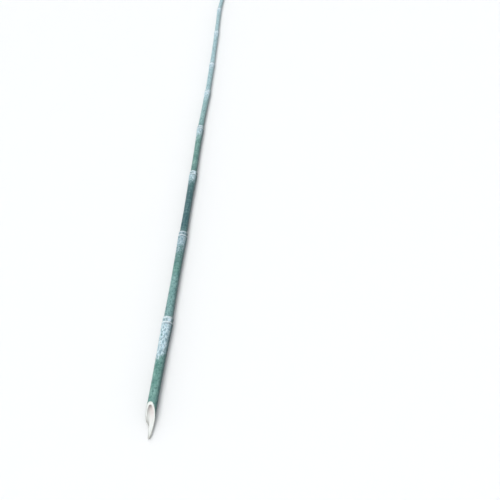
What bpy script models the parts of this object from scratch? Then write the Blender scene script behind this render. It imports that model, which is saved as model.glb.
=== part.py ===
"""Bamboo pole: one freshly cut green culm, lying on a level surface.

Units are metres. The pole lies along +Y with its butt at -Y, and Z = 0 is the surface that it lies on.
A station is a distance along the pole from the tip of the splinter at its butt.
"""

import math

import bpy
from mathutils import Matrix, Vector

# Driving dimensions

LENGTH = 3.66
BUTT_RADIUS = 0.0162
TOP_RADIUS = 0.0147
WALL = 0.0048
SIDES = 24
HOLLOW_SIDES = 16

# Each node of the culm, from the butt: the station of its sheath scar, how far the pole's line stands to
# the side there, and how strongly the node swells.
NODES = (
    (0.383, 0.0019, 1.00),
    (0.806, 0.0030, 0.86),
    (1.204, 0.0022, 0.92),
    (1.602, -0.0026, 0.84),
    (1.974, 0.0022, 0.80),
    (2.347, 0.0000, 0.84),
    (2.859, -0.0082, 0.74),
    (3.305, -0.0195, 0.78),
)
BUTT_SIDE = -0.0022
TOP_SIDE = -0.0095
BEND_REACH = 0.050

SCAR_RIM = 0.0036

# How far the skin stands out around a node of full swelling, from 150 mm on the butt's side of the sheath
# scar to 44 mm past it: the flare, the scar's rim, the groove, the upper ridge and the fall behind it.
NODE_PROFILE = (
    (-0.150, 0.0005),
    (-0.100, 0.0010),
    (-0.066, 0.0017),
    (-0.036, 0.0027),
    (-0.009, 0.0035),
    (-0.001, SCAR_RIM),
    (0.0015, 0.0026),
    (0.007, 0.0021),
    (0.012, 0.0027),
    (0.016, 0.0026),
    (0.020, 0.0010),
    (0.027, -0.0002),
    (0.044, 0.0),
)
INTERNODE_RINGS = 2
INTERNODE_WAIST = 0.0003

# Dormant buds sit above the sheath scar, on alternate sides.
BUD_HEIGHT = 0.0016
BUD_STATION = 0.009
BUD_HALF_LENGTH = 0.007
BUD_FADE = 2.0
BUD_HALF_ANGLE = math.radians(17)
FIRST_BUD_ANGLE = math.radians(62)

# The undersides of the sheath scars' rims are worn flat by this much.
WORN = 0.00035

# The butt: a blade cut that runs long and thin into a splinter. Its line, seen from the side, is given as
# station and height above the pole's axis. It is rolled so that it faces up and to the left.
CUT_ROLL = math.radians(17)
CUT_LINE = (
    (0.1000, 0.0170),
    (0.0840, 0.0080),
    (0.0650, 0.0000),
    (0.0450, -0.0075),
    (0.0270, -0.0112),
    (0.0100, -0.0134),
    (-0.0050, -0.0142),
)
# The splinter's torn edges, seen from above, as station and side.
LEFT_TEAR = (
    (-0.0100, 0.0040),
    (0.0006, 0.0036),
    (0.0040, 0.0016),
    (0.0180, 0.0002),
    (0.0370, -0.0022),
    (0.0410, -0.0050),
    (0.0480, -0.0108),
    (0.0580, -0.0154),
    (0.0680, -0.0200),
)
RIGHT_TEAR = (
    (-0.0100, 0.0056),
    (0.0006, 0.0060),
    (0.0040, 0.0086),
    (0.0110, 0.0108),
    (0.0220, 0.0124),
    (0.0380, 0.0146),
    (0.0520, 0.0168),
    (0.0600, 0.0200),
)

# The top end's blade cut leans by this angle from square.
TOP_CUT_LEAN = math.radians(28)
TOP_CUT_ROLL = math.radians(-35)

# The hollow behind each cut ends at the nearest node's diaphragm.
DIAPHRAGM = 0.006
HOLLOW_ROUNDING = 0.030
HOLLOW_ROUNDING_STEPS = 3
CUTTER_REACH = 0.060
MERGE_DISTANCE = 0.00001

# Colours and finish
CULM_COLOUR = (0.145, 0.295, 0.262, 1.0)
CULM_ROUGHNESS = 0.5
SHARP_ANGLE = math.radians(35)


def skin_radius(station):
    """The internodes' radius, which tapers evenly from the butt to the top."""
    return BUTT_RADIUS + (TOP_RADIUS - BUTT_RADIUS) * station / LENGTH


def side_points():
    """Stations and side offsets of the pole's line: straight internodes that meet at the nodes."""
    first = (0.0, BUTT_SIDE)
    last = (LENGTH, TOP_SIDE)
    return [first] + [(station, side) for station, side, _ in NODES] + [last]


def height_points():
    """Stations and heights of the pole's axis, so that every sheath scar touches the surface."""
    points = []
    for station, _, swelling in NODES:
        scar = skin_radius(station) + swelling * SCAR_RIM
        points.append((station, scar - WORN))
    return points


def along(points, station):
    """The value and slope at a station of straight stretches that are eased into each other at their ends."""
    slopes = [
        (b[1] - a[1]) / (b[0] - a[0]) for a, b in zip(points, points[1:])
    ]
    value = points[0][1] + slopes[0] * (station - points[0][0])
    slope = slopes[0]
    for (corner, _), before, after in zip(points[1:-1], slopes, slopes[1:]):
        t = (station - corner + BEND_REACH) / (2 * BEND_REACH)
        t = min(max(t, 0.0), 1.0)
        past = max(station - corner - BEND_REACH, 0.0)
        value += (after - before) * (BEND_REACH * t * t + past)
        slope += (after - before) * t
    return value, slope


def lay(mesh):
    """Lays a mesh that is turned about Z along the pole's line: its Z is the station."""
    sides = side_points()
    heights = height_points()
    for vertex in mesh.vertices:
        across, down, station = vertex.co
        side, lean = along(sides, station)
        height, _ = along(heights, station)
        turn = Matrix.Rotation(-math.atan(lean), 3, "Z")
        vertex.co = Vector((side, station, height)) + turn @ Vector((across, 0.0, -down))


def turned(name, profile, steps, collection):
    """A closed mesh turned about Z from (radius, station) points that run from the top end to the butt."""
    mesh = bpy.data.meshes.new(name)
    start = math.pi / steps
    points = [(r * math.cos(start), r * math.sin(start), z) for r, z in profile]
    edges = [(i, i + 1) for i in range(len(points) - 1)]
    mesh.from_pydata(points, edges, [])
    guide = bpy.data.objects.new(name, mesh)
    collection.objects.link(guide)
    screw = guide.modifiers.new("Turn", "SCREW")
    screw.axis = "Z"
    screw.angle = math.tau
    screw.steps = steps
    screw.render_steps = steps
    screw.use_merge_vertices = True
    screw.merge_threshold = MERGE_DISTANCE
    return as_mesh(guide, name, collection)


def as_mesh(source, name, collection):
    """Replaces an object by the mesh that its modifiers or its curve make."""
    bpy.context.view_layer.update()
    graph = bpy.context.evaluated_depsgraph_get()
    mesh = bpy.data.meshes.new_from_object(source.evaluated_get(graph))
    placed = source.matrix_world.copy()
    bpy.data.objects.remove(source)
    made = bpy.data.objects.new(name, mesh)
    made.matrix_world = placed
    collection.objects.link(made)
    return made


def outline_cutter(name, points, depth, placed, collection):
    """A closed prism: a flat outline in its own X and Y, extruded by depth both ways and set in its place."""
    curve = bpy.data.curves.new(name, "CURVE")
    curve.dimensions = "2D"
    curve.fill_mode = "BOTH"
    curve.extrude = depth
    spline = curve.splines.new("POLY")
    spline.points.add(len(points) - 1)
    for point, (x, y) in zip(spline.points, points):
        point.co = (x, y, 0.0, 1.0)
    spline.use_cyclic_u = True
    outline = bpy.data.objects.new(name, curve)
    outline.matrix_world = placed
    collection.objects.link(outline)
    cutter = as_mesh(outline, name, collection)
    weld = cutter.modifiers.new("Weld", "WELD")
    weld.merge_threshold = MERGE_DISTANCE
    return cutter


def culm_profile():
    """(radius, station) points of the skin, from the top end down to the butt."""
    points = [(0.0, -CUTTER_REACH), (BUTT_RADIUS, -CUTTER_REACH)]
    last = 0.0
    for station, _, swelling in NODES:
        first = station + NODE_PROFILE[0][0]
        for i in range(INTERNODE_RINGS):
            at = last + (first - last) * (i + 1) / (INTERNODE_RINGS + 1)
            points.append((skin_radius(at) - INTERNODE_WAIST, at))
        for offset, rise in NODE_PROFILE:
            at = station + offset
            points.append((skin_radius(at) + swelling * rise, at))
        last = station + NODE_PROFILE[-1][0]
    top = LENGTH + CUTTER_REACH
    points += [(skin_radius(last) - INTERNODE_WAIST, last + CUTTER_REACH), (TOP_RADIUS, top), (0.0, top)]
    return points[::-1]


def raise_buds(mesh):
    """Pushes the skin out at the bud above each sheath scar, on alternate sides."""
    for i, (station, _, _) in enumerate(NODES):
        angle = FIRST_BUD_ANGLE + i * math.pi
        for vertex in mesh.vertices:
            away = (vertex.co.z - station - BUD_STATION) / BUD_HALF_LENGTH
            if abs(away) > BUD_FADE:
                continue
            turn = math.atan2(-vertex.co.y, vertex.co.x) - angle
            turn = (turn + math.pi) % math.tau - math.pi
            rise = BUD_HEIGHT * math.exp(-away * away - (turn / BUD_HALF_ANGLE) ** 2)
            out = Vector((vertex.co.x, vertex.co.y, 0.0)).normalized()
            vertex.co += out * rise


def make_culm(collection):
    """The whole culm before its cuts, lying on the surface with its sheath scars worn flat below."""
    culm = turned("culm", culm_profile(), SIDES, collection)
    raise_buds(culm.data)
    lay(culm.data)
    for vertex in culm.data.vertices:
        vertex.co.z = max(vertex.co.z, 0.0)
    return culm


def hollow_profile(deep, mouth):
    """(radius, station) points of a hollow that runs from a rounded diaphragm at deep to its mouth."""
    toward = 1 if mouth > deep else -1
    radius = skin_radius(deep) - WALL
    points = [(0.0, deep)]
    for step in range(1, HOLLOW_ROUNDING_STEPS + 1):
        turn = math.pi / 2 * step / HOLLOW_ROUNDING_STEPS
        reach = HOLLOW_ROUNDING * (1 - math.cos(turn))
        points.append((radius * math.sin(turn), deep + toward * reach))
    points += [(skin_radius(mouth) - WALL, mouth), (0.0, mouth)]
    return points if toward < 0 else points[::-1]


def make_hollow(name, deep, mouth, collection):
    """The cutter for one open end's hollow, along the pole's line."""
    hollow = turned(name, hollow_profile(deep, mouth), HOLLOW_SIDES, collection)
    lay(hollow.data)
    return hollow


def axis_frame(station, roll):
    """A frame on the pole's axis, rolled about it: X along the pole, Y up and Z to the right before the roll."""
    side, lean = along(side_points(), station)
    height, _ = along(height_points(), station)
    stand = Matrix(((0, 0, 1, 0), (1, 0, 0, 0), (0, 1, 0, 0), (0, 0, 0, 1)))
    turn = Matrix.Rotation(-math.atan(lean), 4, "Z")
    return Matrix.Translation((side, station, height)) @ turn @ Matrix.Rotation(roll, 4, "Y") @ stand


def make_butt_cut(collection):
    """The blade's long slanted cut at the butt: all that lies above its line goes."""
    reach = CUTTER_REACH
    (station, height), (next_station, next_height) = CUT_LINE[:2]
    slant = (station - next_station) / (height - next_height)
    outline = [(CUT_LINE[-1][0] - reach, CUT_LINE[-1][1]), (CUT_LINE[-1][0] - reach, reach)]
    outline += [(station + slant * (reach - height), reach)] + list(CUT_LINE)
    return outline_cutter("butt_cut", outline, reach, axis_frame(0.0, -CUT_ROLL), collection)


def make_tear(name, edge, outward, collection):
    """What is torn away beside the splinter: all that lies outward of its edge, seen from above."""
    reach = CUTTER_REACH
    outline = [(-reach, edge[0][1])] + list(edge)
    outline += [(edge[-1][0], outward * reach), (-reach, outward * reach)]
    flat = [(side, station) for station, side in outline]
    side, lean = along(side_points(), 0.0)
    placed = Matrix.Translation((side, 0.0, 0.0)) @ Matrix.Rotation(-math.atan(lean), 4, "Z")
    return outline_cutter(name, flat, reach, placed, collection)


def make_tip_cut(collection):
    """The blunt end of the splinter."""
    reach = CUTTER_REACH
    outline = [(-2 * reach, -reach), (0.0, -reach), (0.0, reach), (-2 * reach, reach)]
    return outline_cutter("tip_cut", outline, reach, axis_frame(0.0, 0.0), collection)


def make_top_cut(collection):
    """The leaning cut at the pole's top end."""
    reach = CUTTER_REACH
    lean = reach * math.tan(TOP_CUT_LEAN)
    short = -TOP_RADIUS * math.tan(TOP_CUT_LEAN)
    outline = [(short - lean, reach), (short + lean, -reach), (3 * reach, -reach), (3 * reach, reach)]
    return outline_cutter("top_cut", outline, reach, axis_frame(LENGTH, TOP_CUT_ROLL), collection)


def cut(culm, cutters):
    """Takes each cutter away from the culm and hides it."""
    for cutter in cutters:
        cutter.hide_render = True
        cutter.display_type = "WIRE"
        modifier = culm.modifiers.new(cutter.name, "BOOLEAN")
        modifier.operation = "DIFFERENCE"
        modifier.solver = "EXACT"
        modifier.object = cutter


def centre(culm):
    """Puts the middle of the pole's box over the origin, with its cutters kept in their places on it."""
    bpy.context.view_layer.update()
    shape = culm.evaluated_get(bpy.context.evaluated_depsgraph_get())
    corners = [Vector(corner) for corner in shape.bound_box]
    middle = (corners[0] + corners[6]) / 2
    frame = bpy.data.objects.new("pole_frame", None)
    culm.users_collection[0].objects.link(frame)
    culm.parent = frame
    for modifier in culm.modifiers:
        modifier.object.parent = frame
    frame.location = (-middle.x, -middle.y, 0.0)


def finish_culm(culm):
    """Waxy green skin, shaded smooth between the cuts."""
    material = bpy.data.materials.new("culm")
    material.use_nodes = True
    shader = material.node_tree.nodes["Principled BSDF"]
    shader.inputs["Base Color"].default_value = CULM_COLOUR
    shader.inputs["Roughness"].default_value = CULM_ROUGHNESS
    shader.inputs["Metallic"].default_value = 0.0
    culm.data.materials.append(material)
    culm.data.shade_smooth()
    culm.data.set_sharp_from_angle(angle=SHARP_ANGLE)


def main():
    for old in list(bpy.data.objects):
        bpy.data.objects.remove(old)
    pole = bpy.data.collections.new("bamboo_pole")
    helpers = bpy.data.collections.new("cutters")
    bpy.context.scene.collection.children.link(pole)
    bpy.context.scene.collection.children.link(helpers)

    culm = make_culm(pole)
    first, last = NODES[0][0], NODES[-1][0]
    cut(
        culm,
        [
            make_hollow("butt_hollow", first - DIAPHRAGM, -2 * CUTTER_REACH, helpers),
            make_hollow("top_hollow", last + 2 * DIAPHRAGM, LENGTH + 2 * CUTTER_REACH, helpers),
            make_butt_cut(helpers),
            make_tear("left_tear", LEFT_TEAR, -1, helpers),
            make_tear("right_tear", RIGHT_TEAR, 1, helpers),
            make_tip_cut(helpers),
            make_top_cut(helpers),
        ],
    )
    finish_culm(culm)
    centre(culm)


main()
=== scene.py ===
"""Bamboo pole: the looks of one freshly cut green culm that lies on a level surface.

Units are metres. The pole lies along +Y with its butt at -Y. A station is a distance along it from the tip
of the splinter at its butt, and a turn is an angle around it, from its right side over its top.
"""

import math
import random
from collections import namedtuple

import bpy
import numpy as np
from bpy.props import FloatProperty, FloatVectorProperty, IntProperty, PointerProperty
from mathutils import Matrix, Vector


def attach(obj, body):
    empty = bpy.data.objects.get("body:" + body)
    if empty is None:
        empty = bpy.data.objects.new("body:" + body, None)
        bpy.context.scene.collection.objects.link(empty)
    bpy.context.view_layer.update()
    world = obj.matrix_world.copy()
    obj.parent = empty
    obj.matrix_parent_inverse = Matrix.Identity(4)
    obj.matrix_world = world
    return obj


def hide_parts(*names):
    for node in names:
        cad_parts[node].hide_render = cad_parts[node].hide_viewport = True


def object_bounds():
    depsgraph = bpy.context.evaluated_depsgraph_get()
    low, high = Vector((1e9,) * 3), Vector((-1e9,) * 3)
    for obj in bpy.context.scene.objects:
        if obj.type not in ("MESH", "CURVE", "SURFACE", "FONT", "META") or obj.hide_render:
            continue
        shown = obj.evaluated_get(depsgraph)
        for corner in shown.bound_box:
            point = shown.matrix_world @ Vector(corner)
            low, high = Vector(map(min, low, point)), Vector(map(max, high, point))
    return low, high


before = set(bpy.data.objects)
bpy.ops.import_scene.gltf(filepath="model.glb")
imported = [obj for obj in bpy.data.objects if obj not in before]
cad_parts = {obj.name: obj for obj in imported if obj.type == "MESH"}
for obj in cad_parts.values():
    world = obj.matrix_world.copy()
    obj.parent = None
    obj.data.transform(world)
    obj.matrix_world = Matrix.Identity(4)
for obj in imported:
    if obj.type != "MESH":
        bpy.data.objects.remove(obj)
CAD_LOW, CAD_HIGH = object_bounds()

bl_info = {
    "name": "Bamboo Pole",
    "version": (1, 0, 0),
    "blender": (4, 5, 0),
    "location": "3D View > Sidebar > Bamboo Pole",
    "description": "Builds a freshly cut bamboo pole with its nodes, wax bloom, cut ends and torn fibres",
    "category": "Add Mesh",
}

# The culm's nodes. Each has its station, how far the culm's line stands to the side there, how strongly the
# node swells, how far its rings slant down to the right, and how far its wax reaches toward the butt, how
# thickly it lies and over what share of that reach it stays thick.
Node = namedtuple("Node", "station side swelling slant wax_reach wax wax_hold")
NODES = (
    Node(0.383, 0.0019, 1.00, 0.0014, 0.185, 1.00, 0.58),
    Node(0.793, 0.0030, 0.86, 0.0018, 0.190, 0.95, 0.16),
    Node(1.190, 0.0022, 0.92, 0.0014, 0.150, 0.92, 0.14),
    Node(1.578, -0.0026, 0.84, 0.0006, 0.200, 0.95, 0.10),
    Node(1.968, 0.0022, 0.80, -0.0008, 0.190, 0.95, 0.14),
    Node(2.335, 0.0000, 0.84, 0.0007, 0.200, 0.95, 0.12),
    Node(2.845, -0.0082, 0.74, -0.0006, 0.240, 1.00, 0.12),
    Node(3.305, -0.0195, 0.78, 0.0005, 0.230, 1.00, 0.12),
)

# How far the culm's line stands to the side at its two ends, how far to either side of a node a bend is
# eased, and how much the undersides of the nodes are worn flat.
BUTT_SIDE = -0.0022
TOP_SIDE = -0.0095
BEND_REACH = 0.050
WORN = 0.00035

# The skin's tone along the pole, as station and tone: from -1, deep and bluish, to 1, pale with haze. The
# deep bluish stretch from about 0.6 to 1.2 is painted shadow; the rest is the skin's own colour.
TONES_AND_PAINTED_SHADOW = (
    (0.00, -0.08),
    (0.14, -0.06),
    (0.24, 0.10),
    (0.40, 0.36),
    (0.56, 0.32),
    (0.66, -0.40),
    (0.80, -0.65),
    (0.90, -1.00),
    (1.04, -0.90),
    (1.22, -0.12),
    (1.45, 0.02),
    (1.62, 0.42),
    (1.82, 0.58),
    (2.00, 0.85),
    (2.60, 0.92),
    (3.70, 1.00),
)

# Where station zero lies in the frame, whose origin is under the middle of the pole.
BUTT_PLACE = (0.0073, -1.8301)

# How far the skin stands out around a node of full swelling: the long flare, the sheath scar's lip, the
# groove above it, the upper ridge and the fall behind it. The scar and the ridge are either side of the
# node's own station.
SCAR = -0.0070
SCAR_RIM = 0.0036
WAIST = -0.0003
NODE_PROFILE = (
    (-0.2400, WAIST),
    (-0.1500, 0.00040),
    (-0.1000, 0.00100),
    (-0.0660, 0.00170),
    (-0.0360, 0.00265),
    (-0.0180, 0.00312),
    (-0.0122, 0.00318),
    (-0.0106, 0.00306),
    (-0.0098, 0.00358),
    (-0.0078, 0.00368),
    (-0.0070, 0.00295),
    (-0.0060, 0.00240),
    (-0.0015, 0.00202),
    (0.0030, 0.00206),
    (0.0072, 0.00262),
    (0.0105, 0.00290),
    (0.0135, 0.00245),
    (0.0168, 0.00105),
    (0.0240, -0.00010),
    (0.0440, 0.00000),
    (0.1200, WAIST),
)
FLARE_START = -0.150
RIDGE = 0.0105
RIDGE_END = 0.044
SLANT_REACH = 0.030

# How unevenly a scar runs round the culm, and how uneven the skin is, as waves for wobble.
SCAR_WAVES = ((0.00022, 3, 0), (0.00015, 7, 0), (0.00010, 12, 0))
SKIN_WAVES = ((0.00007, 2, 2.3), (0.00005, 3, 5.1), (0.00003, 5, 9.7))
SKIN_SEED = 5

# The marks at a node, as how far past the scar's edge each lies and how wide it is. From the first far
# station to the second, the lip's mark spreads toward the butt, and the ridge's mark and the wax above the
# scar fade.
LIP_MARK = (-0.0018, 0.0030)
LIP_SPREAD = (0.006, 0.009)
# The next mark is painted shadow under the scar's lip on its right side, and the groove's mark and its
# darkness are painted shade.
LIP_SHADOW_MARK = (-0.0072, 0.0028)
GROOVE_MARK = (0.0080, 0.0062)
GROOVE_SHADE = 0.36
RIDGE_MARK_WIDTH = 0.0040
FAR_STATIONS = (1.5, 2.3)
WAX_PAST_RIDGE = 0.005

# The butt's blade cut as station and height over the axis, rolled to face up and to the left, and the torn
# edges of its splinter as station and side.
CUT_ROLL = math.radians(-17)
CUT_LINE = (
    (0.1000, 0.0170),
    (0.0840, 0.0080),
    (0.0650, 0.0000),
    (0.0450, -0.0075),
    (0.0270, -0.0112),
    (0.0100, -0.0134),
    (-0.0050, -0.0142),
)
LEFT_TEAR = (
    (-0.0100, 0.0040),
    (0.0006, 0.0036),
    (0.0040, 0.0016),
    (0.0180, 0.0002),
    (0.0370, -0.0022),
    (0.0410, -0.0050),
    (0.0480, -0.0108),
    (0.0580, -0.0154),
    (0.0680, -0.0200),
)
RIGHT_TEAR = (
    (-0.0100, 0.0056),
    (0.0006, 0.0060),
    (0.0040, 0.0086),
    (0.0110, 0.0108),
    (0.0220, 0.0124),
    (0.0380, 0.0146),
    (0.0520, 0.0168),
    (0.0600, 0.0200),
)
SPLINTER_TURN = math.radians(-66)
SPLINTER_CROWDING = 0.72
BUTT_REACH = 0.130
TOP_REACH = 0.030
TOP_CUT_LEAN = math.radians(28)
TOP_CUT_ROLL = math.radians(-35)
DIAPHRAGM = 0.006
HOLLOW_ROUNDING = 0.030

# How far the torn edges fray out and grey the wood, how rough the two cuts are, how far into a hollow its
# mouth reaches, and where along the butt's cut the greyer rim ends.
FRAY = 0.0011
FRAY_REACH = 0.019
CUT_ROUGHNESS = 0.00015
TOP_ROUGHNESS = 0.0001
MOUTH_REACH = 0.15
RIM_END = (0.080, 0.100)

# How the fibres stand out of a cut, as waves over the culm's section: each wave's share, how fast it runs
# across and up, and its start.
FIBRE_WAVES = ((0.5, 2700, 1900, 0.4), (0.35, 6100, -3300, 1.9), (0.25, 11900, 7700, 4.2))

# How finely the culm is divided: the rings over a hollow's rounded end, along the butt's hollow and its
# first skin, along the top's last skin and its hollow, and where the rings lie across the wall at each cut.
ROUNDING_RINGS = 7
BUTT_RINGS = 26
TOP_SKIN_RINGS = 8
TOP_HOLLOW_RINGS = 24
BUTT_WALL_SHARES = (0.06, 0.18, 0.32, 0.46, 0.60, 0.74, 0.88, 0.96)
TOP_WALL_SHARES = (0.96, 0.88, 0.70, 0.50, 0.30, 0.12, 0.0)

# The stretches around a node, as start, end and the spacing of their rings, and the spacing elsewhere.
NODE_STRETCHES = (
    (FLARE_START, -0.040, 0.008),
    (-0.040, -0.0138, 0.0026),
    (-0.0138, 0.0195, 0.0006),
    (0.0195, RIDGE_END, 0.0027),
)
INTERNODE_SPACING = 0.009

# Buds sit in the groove above the scar, on alternate sides. A bud's foot is just above the scar. Its scale
# is domed, keeled and finely folded, its edge is sunk into the skin, and its depth is its underside's share
# of the way to the culm's axis.
FIRST_BUD_TURN = math.radians(62)
BUD_FOOT = SCAR + 0.0006
BUD_LENGTH = 0.0150
BUD_MIDDLE = BUD_FOOT + 0.007
BUD_HALF_LENGTH = 0.006
BUD_HALF_TURN = math.radians(17)
BUD_COLUMNS = 18
BUD_ROWS = 26
BUD_HALF_WIDTH = 0.0054
BUD_DOME = 0.0013
BUD_EDGE = 0.0002
BUD_KEEL = 0.00035
BUD_KEEL_SHARE = 0.14
BUD_FOLD = 0.00015
BUD_SUNK = 0.0004
BUD_DEPTH = 0.10

# The torn sheath's collar: how finely it is divided, the waves of its tears, where it grows below the scar's
# edge, and its section. Each corner of the section has how far it stands over the skin and up the pole, each
# followed by what share of the tear's height is added, and how near it is to the torn tip.
FRINGE_COLUMNS = 160
FRINGE_WAVES = ((0.5, 3, 0), (0.4, 8, 0), (0.35, 19, 0), (0.4, 37, 0), (0.35, 61, 0))
FRINGE_SEED = 40
FRINGE_DROP = 0.0022
FRINGE_SECTION = (
    (-0.00060, 0.00, 0.0000, 0.0, 0.0),
    (0.00030, 0.00, 0.0002, 0.0, 0.1),
    (0.00030, 0.35, 0.0006, 0.6, 0.5),
    (0.00030, 0.55, 0.0010, 1.5, 1.0),
    (0.00018, 0.50, 0.0011, 1.5, 1.0),
    (0.00010, 0.28, 0.0009, 0.6, 0.5),
    (0.00005, 0.00, 0.0006, 0.0, 0.1),
    (-0.00060, 0.00, 0.0006, 0.0, 0.0),
)

# The loose strands at the butt: the turns in degrees from which they hang along the splinter's left edge,
# its right edge and its tip, their depth under the skin, their length, how far they curl up and veer aside,
# their thickness, how far up in the wood they start, and how many points each has.
STRAND_SEED = 11
STRAND_TURNS = ((-128, -84), (-52, -18), (-84, -56))
STRAND_DEPTHS = (0.0006, 0.0030)
STRAND_LENGTHS = (0.003, 0.013)
STRAND_CURL = 0.0016
STRAND_VEER = 0.0012
STRAND_THICKNESS = (0.00010, 0.00022)
STRAND_ROOT = 0.0015
STRAND_POINTS = 7

# The same for the strands at the top cut's lower lip, which droop, spread to both sides of it and end just
# past the top. One that would end in a step less than the least one is left out.
TOP_STRAND_DEPTHS = (0.0006, 0.0016)
TOP_STRAND_LENGTHS = (0.002, 0.006)
TOP_STRAND_THICKNESS = (0.00010, 0.00018)
TOP_STRAND_ROOT = 0.001
TOP_STRAND_DROOP = 0.0006
TOP_STRAND_POINTS = 5
TOP_STRAND_SPREAD = 0.9
TOP_STRAND_END = 0.0005
LEAST_STEP = 1e-5

# The side that the painted shade leaves pale, and the side on which the painted shadow under each scar's lip
# lies.
BRIGHT_TURN = math.radians(112)
LIP_SHADOW_TURN = math.radians(35)

# The shares of the way round to the bright side at which the painted shade starts and is full, and how much
# of it is lost from the first far station to the second.
SHADE_START = 0.97
SHADE_FULL = 0.38
SHADE_LOST = 0.45

# How much shorter than its middle the wax is on the right side, and how much longer on the left.
WAX_SLANT = 0.10

# The kinds of the culm's faces, and the room beside each strip and at the ends of the map.
SKIN, WOOD, LINING = range(3)
STRIP_ROOM = 0.03
MAP_ROOM = 0.01

# Edges sharper than these stay sharp, on the culm and on its dry scales.
CULM_CREASE = math.radians(40)
DRY_CREASE = math.radians(50)

# How finely the floor is divided: the steps of its sweep, and its columns.
FLOOR_BENDS = 13
FLOOR_COLUMNS = 96


def amount(name, description, default, least=0.0, **more):
    """A setting that is a number."""
    return FloatProperty(name=name, description=description, default=default, min=least, **more)


def metres(name, description, default, least=0.0):
    """A setting that is a length."""
    return amount(name, description, default, least, unit="LENGTH", precision=4)


def degrees(name, description, default, least=-180.0, most=180.0):
    """A setting that is an angle, given here in degrees."""
    default, least, most = (math.radians(value) for value in (default, least, most))
    return amount(name, description, default, least, max=most, subtype="ANGLE", unit="ROTATION")


def triple(name, description, default, subtype, **more):
    """A setting with three numbers."""
    return FloatVectorProperty(
        name=name, description=description, default=default, size=3, subtype=subtype, **more
    )


def colour(name, description, default):
    """A setting that is a colour, with the three linear parts that the shaders take."""
    return triple(name, description, default, "COLOR", min=0.0, max=1.0)


class BambooPoleSizes(bpy.types.PropertyGroup):
    """The pole's sizes and how finely it is modelled."""

    length: metres("Length", "From the splinter's tip to the top end", round(CAD_HIGH.y - CAD_LOW.y, 3), 3.6)
    butt_radius: metres("Butt radius", "Radius of the first internode", 0.0162, 0.008)
    top_radius: metres("Top radius", "Radius at the top end", 0.0147, 0.007)
    wall: metres("Wall", "Thickness of the culm's wall", 0.0048, 0.002)
    bud_swell: metres("Bud swell", "How far the skin rises under a bud", 0.0012)
    fringe: metres("Sheath fringe", "How far the torn base of each sheath stands out of its scar", 0.0009)
    columns: IntProperty(
        name="Columns",
        description="Columns of faces around the culm",
        default=80,
        min=16,
    )
    strands: IntProperty(
        name="Torn strands",
        description="Loose strands of fibre along the splinter's torn edges",
        default=54,
        min=0,
    )


class BambooPoleColours(bpy.types.PropertyGroup):
    """The pole's colours."""

    deep_green: colour("Deep green", "Fresh skin just above a node", (0.055, 0.150, 0.140))
    mid_green: colour("Mid green", "Most of the skin", (0.112, 0.272, 0.226))
    dusty_green: colour("Dusty green", "Skin with a thin haze of wax", (0.215, 0.398, 0.346))
    pale_green: colour("Pale green", "Dry scuffs on the skin", (0.320, 0.510, 0.475))
    # This green is also the painted shadow on the skin's deep stretch, besides its own dark spots.
    spot_and_shadow_green: colour("Night green", "The deepest, bluish stretches of the skin", (0.021, 0.074, 0.102))
    haze: colour("Haze", "The even bloom toward the top", (0.470, 0.685, 0.755))
    wax: colour("Wax", "Thick bloom below a node", (0.585, 0.755, 0.845))
    frost: colour("Frost", "The wax's whitest flecks", (0.830, 0.935, 0.975))
    # This colour is also the wax's painted shadow on the skin's deep stretch, besides its worn wax.
    rubbed_and_shadowed_wax: colour("Rubbed wax", "Wax that is worn thin", (0.115, 0.212, 0.262))
    ring: colour("Ring", "The scar's lip and the upper ridge", (0.760, 0.850, 0.890))
    # The crease colour is painted shade in the groove above each scar and painted shadow under the scar's
    # lip.
    crease: colour("Crease", "The groove between the scar and the ridge", (0.120, 0.170, 0.205))
    # Under side is painted shade: it darkens the skin's right side, away from the light.
    under: colour("Under side", "Skin on the shaded side, which keeps no dust", (0.022, 0.062, 0.064))
    wood: colour("Cut wood", "The wall where it is cut", (0.700, 0.752, 0.690))
    pith: colour("Inner wood", "The wall's inner side", (0.810, 0.822, 0.792))
    bundle: colour("Bundles", "Fibre bundles in the cut wood", (0.290, 0.280, 0.255))
    lining: colour("Lining", "The hollow's papery lining", (0.880, 0.800, 0.780))
    straw: colour("Straw", "Dry scales and torn sheath", (0.560, 0.500, 0.340))
    # This colour also paints the shade deep in each hollow.
    brown_and_hollow_shade: colour("Brown", "Dry edges and tips", (0.200, 0.130, 0.070))


class BambooPoleStage(bpy.types.PropertyGroup):
    """The camera, the lights and the floor."""

    camera_place: triple(
        "Camera place", "Where the camera stands", (0.3138, -2.1928, 1.2693), "TRANSLATION", unit="LENGTH"
    )
    camera_pitch: degrees("Camera pitch", "The camera's tilt up from straight down", 40.94)
    camera_heading: degrees("Camera heading", "The camera's turn to the left of the pole", 1.0719)
    lens: amount("Lens", "Focal length in millimetres", 29.664, 1.0)
    shift: amount("Shift", "The lens's sideways shift, as a share of the picture's width", -0.002, -1.0)
    key_from: triple("Key from", "Where the key light comes from", (-0.20, -0.42, 0.88), "DIRECTION")
    key_strength: amount("Key light", "Strength of the soft key light", 1.85)
    sheen_from: triple("Sheen from", "Where the sheen light comes from", (-0.22, 0.78, 0.60), "DIRECTION")
    sheen_strength: amount("Sheen light", "Strength of the soft light behind the pole", 0.65)
    softness: degrees("Softness", "How wide each light looks from the pole", 42.0)
    sky_strength: amount("Sky light", "Strength of the even light all round", 0.42)
    sky: colour("Sky", "The even light's colour", (0.860, 0.930, 1.000))
    floor: colour("Floor", "The pale floor", (0.900, 0.895, 0.885))
    floor_reach: metres("Floor reach", "Radius of the level floor", 7.0, 4.0)
    cove: metres("Cove", "Radius of the sweep from the floor into its rising edge", 12.0, 0.5)
    edge_slope: degrees("Edge slope", "How steeply the floor's edge rises at last", 50.0, 10.0, 80.0)
    edge_height: metres("Edge height", "Height of the rim of the floor's rising edge", 13.0, 6.0)


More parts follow.
